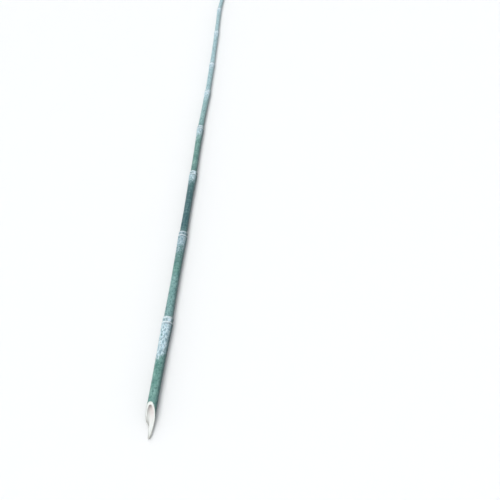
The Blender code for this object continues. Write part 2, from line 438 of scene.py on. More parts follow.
def smooth_through(points, at):
    """A smooth curve through points, level where they turn, which rises and falls only as they do."""
    xs, ys = np.array(points, float).T
    steps = np.diff(xs)
    slopes = np.diff(ys) / steps
    before, after = slopes[:-1], slopes[1:]
    agree = before * after > 0
    tangents = np.zeros_like(ys)
    tangents[1:-1][agree] = 2 * (before * after)[agree] / (before + after)[agree]
    i = np.clip(np.searchsorted(xs, at) - 1, 0, len(steps) - 1)
    t = np.clip((at - xs[i]) / steps[i], 0.0, 1.0)
    rest = 1 - t
    value = (1 + 2 * t) * rest * rest * ys[i] + t * t * (3 - 2 * t) * ys[i + 1]
    return value + steps[i] * t * rest * (rest * tangents[i] - t * tangents[i + 1])


def fade(low, high, value):
    """Eases from 0 at low to 1 at high."""
    t = np.clip((value - low) / (high - low), 0.0, 1.0)
    return t * t * (3 - 2 * t)


def hump(value, reach):
    """A smooth hump of height 1 around zero."""
    return np.exp(-((value / reach) ** 2))


def wobble(seed, turn, station, waves):
    """An uneven number around zero, the same after a whole turn. Each wave is its size, how many times it
    goes round, and how many times it repeats in a metre."""
    draw = random.Random(seed)
    total = 0.0
    for size, rounds, repeats in waves:
        start = draw.uniform(0.0, math.tau)
        total = total + size * np.sin(rounds * turn + math.tau * repeats * station + start)
    return total


def line_at(points, station):
    """The value and slope at a station of straight stretches that are eased into each other."""
    slopes = [(b[1] - a[1]) / (b[0] - a[0]) for a, b in zip(points, points[1:])]
    value = points[0][1] + slopes[0] * (station - points[0][0])
    slope = slopes[0] + 0.0 * station
    for (corner, _), before, after in zip(points[1:-1], slopes, slopes[1:]):
        t = np.clip((station - corner + BEND_REACH) / (2 * BEND_REACH), 0.0, 1.0)
        past = np.maximum(station - corner - BEND_REACH, 0.0)
        value = value + (after - before) * (BEND_REACH * t * t + past)
        slope = slope + (after - before) * t
    return value, slope


def taper(station, sizes):
    """The internodes' radius, which shrinks evenly from the butt to the top."""
    return sizes.butt_radius + (sizes.top_radius - sizes.butt_radius) * station / sizes.length


def lay(radius, turn, station, sizes):
    """Points of the frame for places on the pole, none of them under the surface that it lies on."""
    sides = [(0.0, BUTT_SIDE)] + [(node.station, node.side) for node in NODES] + [(sizes.length, TOP_SIDE)]
    heights = [
        (node.station, taper(node.station, sizes) + node.swelling * SCAR_RIM - WORN) for node in NODES
    ]
    side, lean = line_at(sides, station)
    height, _ = line_at(heights, station)
    heading = np.arctan(lean)
    across = radius * np.cos(turn)
    x = BUTT_PLACE[0] + side + across * np.cos(heading)
    y = BUTT_PLACE[1] + station - across * np.sin(heading)
    z = np.maximum(height + radius * np.sin(turn), 0.0)
    return np.stack([x, y, z], axis=-1)


def from_scar(node, turn, station):
    """How far past a node's scar a place is, measured square to the slanting, uneven scar."""
    offset = station - node.station
    uneven = wobble(node.station, turn, 0.0, SCAR_WAVES)
    return offset + (node.slant * np.cos(turn) + uneven) * hump(offset, SLANT_REACH)


def bud_turn(i):
    """The turn at which node i's bud sits."""
    return FIRST_BUD_TURN + i * math.pi


def skin_radius(turn, station, sizes):
    """The skin's radius, with every node's swelling and bud and a little unevenness."""
    radius = taper(station, sizes) + WAIST
    for i, node in enumerate(NODES):
        offset = from_scar(node, turn, station)
        radius = radius + node.swelling * (smooth_through(NODE_PROFILE, offset) - WAIST)
        away = (turn - bud_turn(i) + math.pi) % math.tau - math.pi
        bud = hump(station - node.station - BUD_MIDDLE, BUD_HALF_LENGTH) * hump(away, BUD_HALF_TURN)
        radius = radius + sizes.bud_swell * bud
    return radius + wobble(SKIN_SEED, turn, station, SKIN_WAVES)


def ragged(across, up):
    """How far fibres stand out of the cut, from place to place in the culm's section."""
    return sum(share * np.sin(a * across + b * up + start) for share, a, b, start in FIBRE_WAVES)


def cut_and_tears(radius, turn):
    """The stations at which the blade's cut and the torn edges meet a line along the grain."""
    across = radius * np.cos(turn)
    up = radius * np.sin(turn)
    height = across * math.sin(CUT_ROLL) + up * math.cos(CUT_ROLL)
    chop = smooth_through([point[::-1] for point in CUT_LINE[::-1]], height)
    left = smooth_through([point[::-1] for point in LEFT_TEAR[::-1]], across)
    right = smooth_through([point[::-1] for point in RIGHT_TEAR], across)
    return chop, np.maximum(left, right)


def torn_share(radius, turn):
    """How far the butt's end is torn there, rather than cut."""
    chop, torn = cut_and_tears(radius, turn)
    return fade(-0.004, 0.004, torn - chop)


def butt_cut(radius, turn):
    """The station at which the butt's end meets a line along the grain."""
    rough = ragged(radius * np.cos(turn), radius * np.sin(turn))
    rough = rough * (CUT_ROUGHNESS + FRAY * torn_share(radius, turn))
    return np.maximum(np.maximum(*cut_and_tears(radius, turn)) + rough, 0.0)


def top_cut(radius, turn, sizes):
    """The station at which the top's leaning cut meets a line along the grain."""
    across = radius * np.cos(turn)
    up = radius * np.sin(turn)
    height = across * math.sin(TOP_CUT_ROLL) + up * math.cos(TOP_CUT_ROLL)
    lean = math.tan(TOP_CUT_LEAN)
    return sizes.length - lean * (sizes.top_radius + height) + TOP_ROUGHNESS * ragged(across, up)


def crowded(turn, share):
    """Turns drawn together around the splinter, by a share."""
    return turn - share * SPLINTER_CROWDING * np.sin(turn - SPLINTER_TURN)


def around(columns):
    """Even turns for the columns of a ring."""
    return np.arange(columns) * math.tau / columns


def butt_rings(sizes):
    """Rings of (radius, turn, station, kind) from the butt's diaphragm out of the hollow, over the cut and
    back along the skin. A ring's kind is that of the faces which follow it."""
    even = around(2 * sizes.columns)
    level = np.ones_like(even)
    deep = NODES[0].station - DIAPHRAGM
    bore = taper(deep, sizes) - sizes.wall
    rings = []
    for step in range(1, ROUNDING_RINGS + 1):
        bend = math.pi / 2 * step / ROUNDING_RINGS
        station = deep - HOLLOW_ROUNDING * (1 - math.cos(bend))
        rings.append((level * bore * math.sin(bend), even, level * station, LINING))
    start = deep - HOLLOW_ROUNDING
    inner = taper(0.0, sizes) - sizes.wall
    for step in range(1, BUTT_RINGS + 1):
        share = 1 - (1 - step / BUTT_RINGS) ** 1.4
        turn = crowded(even, fade(0.3, 1.0, share))
        station = start + (butt_cut(inner, turn) - start) * share
        kind = WOOD if step == BUTT_RINGS else LINING
        rings.append((level * (bore + (inner - bore) * share), turn, station, kind))
    turn = crowded(even, 1.0)
    outer = skin_radius(turn, butt_cut(sizes.butt_radius, turn), sizes)
    for share in BUTT_WALL_SHARES:
        radius = inner + (outer - inner) * share
        rings.append((radius, turn, butt_cut(radius, turn), WOOD))
    mouth = butt_cut(outer, turn)
    for step in range(BUTT_RINGS):
        share = (step / BUTT_RINGS) ** 1.15
        turn = crowded(even, 1 - fade(0.1, 1.0, share))
        station = butt_cut(outer, turn) * (1 - share) + BUTT_REACH * share
        station = mouth if step == 0 else station
        rings.append((skin_radius(turn, station, sizes), turn, station, SKIN))
    return rings


def body_stations(sizes):
    """Stations of the rings between the two ends: close at the nodes and wide apart between them."""
    node_offsets = np.concatenate([np.arange(*stretch) for stretch in NODE_STRETCHES])
    stations = []
    last = BUTT_REACH
    for node in NODES:
        first = node.station + FLARE_START
        count = round((first - last) / INTERNODE_SPACING)
        stations += list(np.linspace(last, first, count, endpoint=False))
        stations += list(node.station + node_offsets)
        last = node.station + RIDGE_END
    end = sizes.length - TOP_REACH
    return stations + list(np.linspace(last, end, round((end - last) / INTERNODE_SPACING)))


def top_rings(sizes):
    """Rings from the top's skin over its cut and down its hollow."""
    turn = around(sizes.columns)
    level = np.ones_like(turn)
    first = sizes.length - TOP_REACH
    outer = skin_radius(turn, level * sizes.length, sizes)
    inner = taper(sizes.length, sizes) - sizes.wall
    rings = []
    for step in range(1, TOP_SKIN_RINGS + 1):
        share = step / TOP_SKIN_RINGS
        station = first + (top_cut(outer, turn, sizes) - first) * share
        kind = WOOD if step == TOP_SKIN_RINGS else SKIN
        rings.append((skin_radius(turn, station, sizes), turn, station, kind))
    for share in TOP_WALL_SHARES:
        radius = inner + (outer - inner) * share
        kind = LINING if share == 0.0 else WOOD
        rings.append((radius, turn, top_cut(radius, turn, sizes), kind))
    mouth = top_cut(inner, turn, sizes)
    deep = NODES[-1].station + 2 * DIAPHRAGM
    bore = taper(deep, sizes) - sizes.wall
    for step in range(1, TOP_HOLLOW_RINGS + 1):
        share = (step / TOP_HOLLOW_RINGS) ** 1.4
        station = mouth + (deep + HOLLOW_ROUNDING - mouth) * share
        rings.append((level * (inner + (bore - inner) * share), turn, station, LINING))
    for step in range(ROUNDING_RINGS - 1, 0, -1):
        bend = math.pi / 2 * step / ROUNDING_RINGS
        station = deep + HOLLOW_ROUNDING * (1 - math.cos(bend))
        rings.append((level * bore * math.sin(bend), turn, level * station, LINING))
    return rings


def culm_rings(sizes):
    """Every ring of the culm's closed surface, from one diaphragm to the other."""
    turn = around(sizes.columns)
    body = []
    for station in body_stations(sizes):
        stations = np.full_like(turn, station)
        body.append((skin_radius(turn, stations, sizes), turn, stations, SKIN))
    return butt_rings(sizes) + body + top_rings(sizes)


def join_rings(rings, centres):
    """Faces between each ring and the next, closed by a fan at both ends. Where a ring has half the columns
    of the one before, each of its faces meets two. Returns faces, the index of each face's first ring, and
    each corner's column as a share of the turn."""
    starts = np.cumsum([0] + [len(ring[0]) for ring in rings])
    faces, owners, shares = [], [], []

    def add(owner, *corners):
        faces.append([vertex for vertex, _ in corners])
        owners.append(owner)
        shares.append([share for _, share in corners])

    def corner(ring, column):
        count = len(rings[ring][0])
        return int(starts[ring]) + column % count, column / count

    first, last = centres
    count = len(rings[0][0])
    for j in range(count):
        add(0, (first, (j + 0.5) / count), corner(0, j), corner(0, j + 1))
    for i in range(len(rings) - 1):
        count, next_count = len(rings[i][0]), len(rings[i + 1][0])
        for j in range(next_count):
            if count == next_count:
                add(i, corner(i, j), corner(i + 1, j), corner(i + 1, j + 1), corner(i, j + 1))
                continue
            add(i, corner(i, 2 * j), corner(i + 1, j), corner(i, 2 * j + 1))
            add(i, corner(i + 1, j), corner(i + 1, j + 1), corner(i, 2 * j + 1))
            add(i, corner(i, 2 * j + 1), corner(i + 1, j + 1), corner(i, 2 * j + 2))
    i = len(rings) - 1
    count = len(rings[i][0])
    for j in range(count):
        add(i, corner(i, j), (last, (j + 0.5) / count), corner(i, j + 1))
    return faces, owners, shares


def grid_faces(rows, columns, start=0, joined_rows=False, joined_columns=True):
    """Faces between rows of points. Where joined, the last row or column meets the first again."""
    faces = []
    for r in range(rows if joined_rows else rows - 1):
        a, b = start + r * columns, start + (r + 1) % rows * columns
        for c in range(columns if joined_columns else columns - 1):
            d = (c + 1) % columns
            faces.append((a + c, b + c, b + d, a + d))
    return faces


def new_piece(name, points, faces, materials, numbers, crease=math.pi):
    """A mesh object that rides with the pole, with the given materials. Its materials read the numbers, one
    for each point."""
    mesh = bpy.data.meshes.new(name)
    mesh.from_pydata(np.asarray(points).tolist(), [], faces)
    for material in materials:
        mesh.materials.append(material)
    for number, values in numbers.items():
        attribute = mesh.attributes.new(number, "FLOAT", "POINT")
        attribute.data.foreach_set("value", np.asarray(values, np.float32))
    mesh.shade_smooth()
    if crease < math.pi:
        mesh.set_sharp_from_angle(angle=crease)
    piece = bpy.data.objects.new(name, mesh)
    bpy.context.scene.collection.objects.link(piece)
    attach(piece, "root")
    return piece


def skin_numbers(turn, station, sizes):
    """What the skin's finish needs at each place: its wax, its bright rings, the painted shade in its
    creases, how far up its internode it is, how pale or deep its skin is with painted shadow on the deep
    stretch, and how much painted shade its shaded side gets."""
    wax = np.zeros_like(turn)
    ring = np.zeros_like(turn)
    crease = np.zeros_like(turn)
    rise = np.zeros_like(turn)
    last = 0.0
    for node in NODES:
        far = fade(*FAR_STATIONS, node.station)
        offset = from_scar(node, turn, station)
        past = offset - SCAR
        reach = node.wax_reach * (1 - WAX_SLANT * np.cos(turn))
        below = node.wax * (1 - fade(node.wax_hold, 1.0, -offset / reach)) * (offset <= 0.0)
        above = (0.85 - 0.45 * far) * node.wax * (1 - fade(RIDGE, RIDGE + WAX_PAST_RIDGE, offset))
        wax = np.maximum(wax, np.maximum(below, above * (offset > 0.0)))
        lip = hump(past - LIP_MARK[0] + LIP_SPREAD[0] * far, LIP_MARK[1] + LIP_SPREAD[1] * far)
        ridge = hump(offset - RIDGE, RIDGE_MARK_WIDTH) * (1 - 0.85 * far)
        ring = np.maximum(ring, np.maximum(lip, ridge))
        # Painted shade in the groove, and painted shadow under the scar's lip on the right side.
        groove = GROOVE_SHADE * hump(past - GROOVE_MARK[0], GROOVE_MARK[1])
        lip_shadow = hump(past - LIP_SHADOW_MARK[0], LIP_SHADOW_MARK[1]) * fade(-0.6, 0.7, np.cos(turn - LIP_SHADOW_TURN))
        crease = np.maximum(crease, np.maximum(groove, lip_shadow))
        within = (station >= last) & (station < node.station)
        rise = np.where(within, (station - last) / (node.station - last), rise)
        last = node.station
    rise = np.where(station >= last, (station - last) / (sizes.length - last), rise)
    tone_and_shadow = smooth_through(TONES_AND_PAINTED_SHADOW, station)
    # Painted shade: the skin darkens toward its right side, away from the bright side, and less so toward
    # the top.
    shade = 1 - fade(SHADE_FULL, SHADE_START, 0.5 + 0.5 * np.cos(turn - BRIGHT_TURN))
    shade = shade * (1 - SHADE_LOST * fade(*FAR_STATIONS, station))
    return {"wax": wax, "ring": ring, "crease": crease, "rise": rise, "tone_and_shadow": tone_and_shadow, "shade": shade}


def wood_numbers(radius, turn, station, sizes):
    """What the finishes of the wood and the lining need: how deep a place lies in the wall, how far inside
    a hollow it is, how torn it is, and how near the butt's tip along the cut."""
    thick = taper(station, sizes)
    inner = thick - sizes.wall
    depth = np.clip((thick - radius) / sizes.wall, 0.0, 1.0)
    mouth = np.minimum(station - butt_cut(inner, turn), top_cut(inner, turn, sizes) - station)
    tear = cut_and_tears(radius, turn)[1]
    torn = (1 - fade(0.0, FRAY_REACH, station - tear)) * (station < BUTT_REACH)
    low = 1 - 0.8 * fade(*RIM_END, station)
    return {"depth": depth, "inside": np.clip(mouth / MOUTH_REACH, 0.0, 1.0), "torn": torn, "low": low}


def strip_map(rings):
    """The culm's map: a strip for each internode, side by side, with the ends' hollows and cuts as strips of
    their own. Returns each ring's strip, and how high in it the faces that follow the ring start and end."""
    radii = [float(np.mean(ring[0])) for ring in rings]
    stations = [float(np.mean(ring[2])) for ring in rings]
    kinds = [ring[3] for ring in rings]
    strip = 0
    strips, heights = [], []
    height = 0.0
    for i, kind in enumerate(kinds):
        before, after = max(i - 1, 0), min(i + 1, len(rings) - 1)
        passed = kind == SKIN and any(stations[before] < node.station <= stations[i] for node in NODES)
        if passed or (kind == SKIN) != (kinds[before] == SKIN):
            strip += 1
            height = 0.0
        strips.append(strip)
        start = height
        height += math.hypot(stations[after] - stations[i], radii[after] - radii[i])
        heights.append((start, height))
    return strips, heights


def make_culm(sizes, materials):
    """The culm itself, as one closed surface: skin, cut ends and hollows."""
    rings = culm_rings(sizes)
    radius, turn, station = (np.concatenate([ring[k] for ring in rings]) for k in range(3))
    deep = (NODES[0].station - DIAPHRAGM, NODES[-1].station + 2 * DIAPHRAGM)
    radius = np.append(radius, [0.0, 0.0])
    turn = np.append(turn, [0.0, 0.0])
    station = np.append(station, deep)
    centres = (len(radius) - 2, len(radius) - 1)
    faces, owners, shares = join_rings(rings, centres)
    numbers = skin_numbers(turn, station, sizes) | wood_numbers(radius, turn, station, sizes)
    points = lay(radius, turn, station, sizes)
    piece = new_piece("green_culm", points, faces, materials, numbers, CULM_CREASE)
    kinds = np.array([ring[3] for ring in rings])
    piece.data.polygons.foreach_set("material_index", kinds[owners])
    lay_map(piece.data, rings, owners, shares)
    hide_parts("culm")


def lay_map(mesh, rings, owners, shares):
    """Gives the culm's mesh the strips of strip_map, with a little room between them."""
    strips, heights = strip_map(rings)
    tallest = max(end for _, end in heights)
    count = strips[-1] + 1
    layer = mesh.uv_layers.new(name="OFBake")
    places = []
    starts = np.cumsum([0] + [len(ring[0]) for ring in rings])
    ring_of = np.searchsorted(starts, np.arange(starts[-1]), side="right") - 1
    for polygon, owner, columns in zip(mesh.polygons, owners, shares):
        low, high = heights[owner]
        for vertex, share in zip(polygon.vertices, columns):
            own = vertex < len(ring_of) and ring_of[vertex] == owner
            height = low if own else high
            places.append((strips[owner] + STRIP_ROOM + (1 - 2 * STRIP_ROOM) * share) / count)
            places.append(MAP_ROOM + (1 - 2 * MAP_ROOM) * height / tallest)
    layer.uv.foreach_set("vector", np.array(places, np.float32))


class Finish:
    """A material whose nodes are added one after another."""

    def __init__(self, name, roughness):
        self.material = bpy.data.materials.new(name)
        self.material.use_nodes = True
        self.tree = self.material.node_tree
        self.shader = self.tree.nodes["Principled BSDF"]
        self.shader.inputs["Roughness"].default_value = roughness
        self.coordinates = self.tree.nodes.new("ShaderNodeTexCoord").outputs["Object"]

    def feed(self, socket, value):
        """Links a socket to a socket, or sets its value or colour."""
        if isinstance(value, bpy.types.NodeSocket):
            self.tree.links.new(value, socket)
        elif socket.type == "RGBA":
            socket.default_value = (*value, 1.0)
        else:
            socket.default_value = value

    def add(self, kind, inputs, **settings):
        """Adds a node with its settings and inputs."""
        made = self.tree.nodes.new(kind)
        for name, value in settings.items():
            setattr(made, name, value)
        for name, value in inputs.items():
            self.feed(made.inputs[name], value)
        return made

    def place(self, scale, turn=(0.0, 0.0, 0.0)):
        """The object's own coordinates, stretched and turned."""
        inputs = {"Vector": self.coordinates, "Scale": scale, "Rotation": turn}
        return self.add("ShaderNodeMapping", inputs).outputs[0]

    def noise(self, place, scale, detail=3.0, roughness=0.55, distortion=0.0):
        """Cloudy noise from 0 to 1."""
        inputs = {
            "Vector": place,
            "Scale": scale,
            "Detail": detail,
            "Roughness": roughness,
            "Distortion": distortion,
        }
        return self.add("ShaderNodeTexNoise", inputs).outputs["Fac"]

    def number(self, name):
        """A number that the mesh stores for each point."""
        return self.add("ShaderNodeAttribute", {}, attribute_name=name).outputs["Fac"]

    def window(self, value, low, high, to_low=0.0, to_high=1.0):
        """Eases from to_low to to_high as a value goes from low to high."""
        inputs = {"Value": value, "From Min": low, "From Max": high, "To Min": to_low, "To Max": to_high}
        return self.add("ShaderNodeMapRange", inputs, interpolation_type="SMOOTHSTEP").outputs[0]

    def maths(self, operation, first, second):
        """A sum, product or the like of two numbers, kept from 0 to 1."""
        made = self.add("ShaderNodeMath", {}, operation=operation, use_clamp=True)
        self.feed(made.inputs[0], first)
        self.feed(made.inputs[1], second)
        return made.outputs[0]

    def mix(self, share, first, second):
        """Two colours mixed by a share."""
        made = self.add("ShaderNodeMix", {}, data_type="RGBA")
        for i, value in ((0, share), (6, first), (7, second)):
            self.feed(made.inputs[i], value)
        return made.outputs[2]

    def coats(self, colour, *coats):
        """A colour under further coats, each of them mixed in by its own share."""
        for share, coat in coats:
            colour = self.mix(share, colour, coat)
        return colour

    def torn(self, fibres):
        """How far torn fibres grey a place, by the mesh's own number."""
        return self.maths("MULTIPLY", self.number("torn"), self.window(fibres, 0.35, 0.65, 0.45, 1.00))

    def bump(self, height, distance, strength):
        """Fine relief for the shader."""
        inputs = {"Height": height, "Distance": distance, "Strength": strength}
        self.feed(self.shader.inputs["Normal"], self.add("ShaderNodeBump", inputs).outputs["Normal"])

    def paint(self, colour):
        """The shader's colour."""
        self.feed(self.shader.inputs["Base Color"], colour)


def skin_finish(colours):
    """Teal green skin, streaked, scuffed and flecked, under a bluish bloom of wax below each node, with
    painted shade on its right side and in the creases at the nodes, and painted shadow on one deep stretch.
    """
    f = Finish("green_skin", 0.45)
    plain = f.place((1.0, 1.0, 1.0))
    along_grain = f.place((1.0, 0.05, 1.0))
    around_culm = f.place((0.12, 1.0, 0.12), (0.0, 0.0, math.radians(9)))
    hatched = f.place((1.0, 0.30, 1.0), (0.0, 0.0, math.radians(34)))
    crossed = f.place((1.0, 0.40, 1.0), (0.0, 0.0, math.radians(-28)))

    patches = f.noise(plain, 19.0, 3.0)
    tone_and_shadow = f.number("tone_and_shadow")
    streaks = f.noise(along_grain, 420.0, 5.0, 0.6)
    ripples = f.noise(around_culm, 150.0, 3.0, 0.6, 0.6)
    hatch = f.noise(hatched, 190.0, 7.0, 0.74, 0.4)
    flecks = f.noise(crossed, 235.0, 7.0, 0.74, 0.2)
    spots = f.noise(plain, 115.0, 7.0, 0.74)
    scuffs = f.window(hatch, 0.51, 0.63, 0.0, 0.60)
    # Fewer pale scuffs where the painted shadow lies on the deep stretch.
    scuffs = f.maths("MULTIPLY", scuffs, f.window(tone_and_shadow, -1.0, 0.0, 0.35, 1.0))
    green = f.coats(
        f.mix(f.window(patches, 0.36, 0.64), colours.mid_green, colours.dusty_green),
        (f.window(f.number("rise"), 0.02, 0.20, 0.55, 0.0), colours.deep_green),
        # Painted shadow on the deep stretch of the skin.
        (f.window(tone_and_shadow, 0.0, -1.0, 0.0, 0.9), colours.spot_and_shadow_green),
        (f.window(tone_and_shadow, 0.0, 1.0, 0.0, 0.9), colours.haze),
        (f.window(streaks, 0.35, 0.68, 0.0, 0.30), colours.deep_green),
        (f.window(ripples, 0.52, 0.64, 0.0, 0.25), colours.pale_green),
        (scuffs, colours.pale_green),
        (f.window(flecks, 0.49, 0.62, 0.0, 0.85), colours.deep_green),
        (f.window(spots, 0.52, 0.66, 0.0, 0.75), colours.spot_and_shadow_green),
    )

    speckle = f.noise(plain, 130.0, 8.0, 0.76, 0.3)
    powder = f.noise(plain, 1500.0, 3.0, 0.7)
    wax = f.number("wax")
    thin = f.maths("MULTIPLY", f.maths("SUBTRACT", 1.0, wax), 0.34)
    cover = f.window(f.maths("SUBTRACT", speckle, thin), 0.33, 0.49)
    worn = f.maths("MULTIPLY", f.window(flecks, 0.46, 0.60, 0.0, 0.95), f.window(wax, 1.0, 0.8, 0.82, 1.0))
    bloom = f.coats(
        f.mix(f.window(hatch, 0.46, 0.58), colours.wax, colours.frost),
        (worn, colours.rubbed_and_shadowed_wax),
        (f.window(streaks, 0.40, 0.70, 0.0, 0.22), colours.dusty_green),
        (f.window(powder, 0.40, 0.65, 0.0, 0.16), colours.rubbed_and_shadowed_wax),
        # The wax darkened by painted shadow on the deep stretch.
        (f.window(tone_and_shadow, -1.0, 0.0, 0.50, 0.0), colours.rubbed_and_shadowed_wax),
    )
    # Painted shade in the creases at each node.
    crease = f.maths("MULTIPLY", f.number("crease"), f.window(speckle, 0.30, 0.70, 1.0, 0.60))
    ring = f.maths("MULTIPLY", f.number("ring"), f.window(flecks, 0.40, 0.65, 1.0, 0.50))
    # The rings dimmed by painted shadow on the deep stretch.
    ring = f.maths("MULTIPLY", ring, f.window(tone_and_shadow, -1.0, 0.0, 0.50, 1.0))
    # Painted shade on the skin's right side.
    uneven = f.maths("MULTIPLY", f.number("shade"), f.window(patches, 0.30, 0.70, 0.95, 0.84))
    skin = f.coats(
        green,
        (f.maths("MULTIPLY", cover, 0.93), bloom),
        (crease, colours.crease),
        (ring, colours.ring),
        (uneven, colours.under),
    )
    f.paint(skin)

    f.feed(f.shader.inputs["Roughness"], f.window(cover, 0.0, 1.0, 0.38, 0.70))
    f.shader.inputs["Specular IOR Level"].default_value = 0.24
    relief = f.maths("ADD", f.maths("MULTIPLY", streaks, 0.45), f.maths("MULTIPLY", ripples, 0.35))
    relief = f.maths("ADD", relief, f.maths("MULTIPLY", f.maths("MULTIPLY", cover, speckle), 0.35))
    f.bump(relief, 0.00035, 0.7)
    return f.material


def wood_finish(colours):
    """Pale cut wood with fibre bundles, close together and greyer under the skin."""
    f = Finish("cut_wood", 0.70)
    grain = f.place((1.0, 0.03, 1.0))
    depth = f.number("depth")
    bundles = f.add("ShaderNodeTexVoronoi", {"Vector": grain, "Scale": 1050.0}, feature="F1")
    dots = f.window(bundles.outputs["Distance"], 0.16, 0.34, 0.70, 0.0)
    close = f.add("ShaderNodeTexVoronoi", {"Vector": grain, "Scale": 2100.0}, feature="F1")
    near_skin = f.maths("MULTIPLY", f.window(depth, 0.05, 0.66, 0.90, 0.0), f.number("low"))
    fine_dots = f.maths("MULTIPLY", f.window(close.outputs["Distance"], 0.2, 0.5, 1.0, 0.45), near_skin)
    stain = f.noise(f.place((1.0, 0.3, 1.0)), 130.0, 3.0)
    wood = f.coats(
        f.mix(depth, colours.wood, colours.pith),
        (f.maths("MULTIPLY", dots, f.window(depth, 0.1, 1.0, 1.0, 0.35)), colours.bundle),
        (fine_dots, colours.bundle),
        (f.torn(f.noise(grain, 700.0, 4.0, 0.6)), colours.bundle),
        (f.window(stain, 0.52, 0.80, 0.0, 0.35), colours.lining),
        (f.window(depth, 0.03, 0.085, 0.9, 0.0), colours.deep_green),
    )
    f.paint(wood)
    f.bump(f.maths("ADD", f.maths("MULTIPLY", dots, 0.6), f.maths("MULTIPLY", stain, 0.5)), 0.0003, 0.8)
    return f.material


def lining_finish(colours):
    """The hollow's papery lining: nearly white at the mouth, pinkish further in and darkened with painted
    shade at its far end.
    """
    f = Finish("hollow_lining", 0.72)
    fibres = f.noise(f.place((1.0, 0.04, 1.0)), 700.0, 4.0, 0.6)
    inside = f.number("inside")
    lining = f.coats(
        f.mix(f.window(inside, 0.05, 0.40), colours.pith, colours.lining),
        # Painted shade deep in the hollow.
        (f.window(inside, 0.55, 1.0, 0.0, 0.55), colours.brown_and_hollow_shade),
        (f.window(fibres, 0.50, 0.75, 0.0, 0.18), colours.bundle),
        (f.torn(fibres), colours.bundle),
    )
    f.paint(lining)
    f.bump(fibres, 0.0002, 0.7)
    return f.material


def dry_finish(name, colours, first, second):
    """Dry papery tissue, which darkens toward its tips by the mesh's own number."""
    f = Finish(name, 0.78)
    fibres = f.noise(f.place((1.0, 0.15, 1.0)), 900.0, 4.0, 0.6)
    tissue = f.mix(f.window(f.number("tip"), 0.35, 1.0, 0.0, 0.8), first, second)
    tissue = f.mix(f.window(fibres, 0.40, 0.75, 0.0, 0.45), tissue, colours.brown_and_hollow_shade)
    f.paint(tissue)
    f.bump(fibres, 0.0002, 0.8)
    return f.material


def bud_scale(i, sizes):
    """The points and faces of node i's bud: a pointed, keeled scale that lies on the skin with its edges
    sunk into it, and each point's nearness to its edge."""
    columns, rows = BUD_COLUMNS, BUD_ROWS
    foot = NODES[i].station + BUD_FOOT
    points, tips = [], []
    for b in np.linspace(0.0, 1.0, rows):
        station = foot + BUD_LENGTH * b
        half = BUD_HALF_WIDTH * math.sin(math.pi * min(1.0, 0.12 + 0.88 * b) ** 0.75) ** 0.8 + 0.00015
        for a in np.linspace(-1.0, 1.0, columns):
            turn = bud_turn(i) + a * half / sizes.butt_radius
            dome = (1 - abs(a) ** 2.4) ** 0.6 * (BUD_DOME * (1 - b) ** 0.35 * fade(0.0, 0.12, b) + BUD_EDGE)
            keel = BUD_KEEL * math.exp(-((a / BUD_KEEL_SHARE) ** 2)) * fade(0.1, 0.4, b) * (1 - b)
            fold = BUD_FOLD * math.sin(9.0 * abs(a) + 2.0 * b) * (1 - a * a)
            edge = BUD_SUNK * (abs(a) > 0.985)
            radius = skin_radius(np.array(turn), np.array(station), sizes) + dome + keel + fold - edge
            points.append(lay(radius, turn, station, sizes))
            tips.append(max(abs(a) ** 3, b**3))
    faces = grid_faces(rows, columns, joined_columns=False)
    below = len(points)
    for r, b in enumerate(np.linspace(0.0, 1.0, rows)):
        core = lay(0.0, 0.0, foot + BUD_LENGTH * b, sizes)
        for at in points[r * columns : (r + 1) * columns]:
            points.append(at + (core - at) * BUD_DEPTH)
    tips += tips
    faces += [tuple(below + v for v in face[::-1]) for face in faces]
    rim = list(range(columns))
    rim += [r * columns + columns - 1 for r in range(1, rows)]
    rim += [(rows - 1) * columns + c for c in range(columns - 2, -1, -1)]
    rim += [r * columns for r in range(rows - 2, 0, -1)]
    for a, b in zip(rim, rim[1:] + rim[:1]):
        faces.append((a, b, below + b, below + a))
    return points, faces, tips


def make_buds(sizes, material):
    """All the buds as one piece."""
    points, faces, tips = [], [], []
    for i in range(len(NODES)):
        more_points, more_faces, more_tips = bud_scale(i, sizes)
        start = len(points)
        points += more_points
        faces += [tuple(start + v for v in face) for face in more_faces]
        tips += more_tips
    new_piece("bud_scales", points, faces, [material], {"tip": tips}, DRY_CREASE)


def make_fringe(sizes, material):
    """The torn sheath bases: a thin ragged collar on every scar, as one piece."""
    columns = FRINGE_COLUMNS
    turn = around(columns)
    points, faces, tips = [], [], []
    for i, node in enumerate(NODES):
        torn = wobble(FRINGE_SEED + i, turn, 0.0, FRINGE_WAVES)
        stand = sizes.fringe * np.clip(0.35 + 0.5 * torn, 0.03, 1.0) ** 1.3
        shift = -from_scar(node, turn, np.full_like(turn, node.station))
        station = node.station + shift + SCAR - FRINGE_DROP
        skin = skin_radius(turn, station, sizes)
        faces += grid_faces(len(FRINGE_SECTION), columns, len(points), joined_rows=True)
        for over, over_share, up, up_share, tip in FRINGE_SECTION:
            radius = skin + over + over_share * stand
            points += list(lay(radius, turn, station + up + up_share * stand, sizes))
            tips += [tip] * columns
    new_piece("sheath_fringe", points, faces, [material], {"tip": tips}, DRY_CREASE)


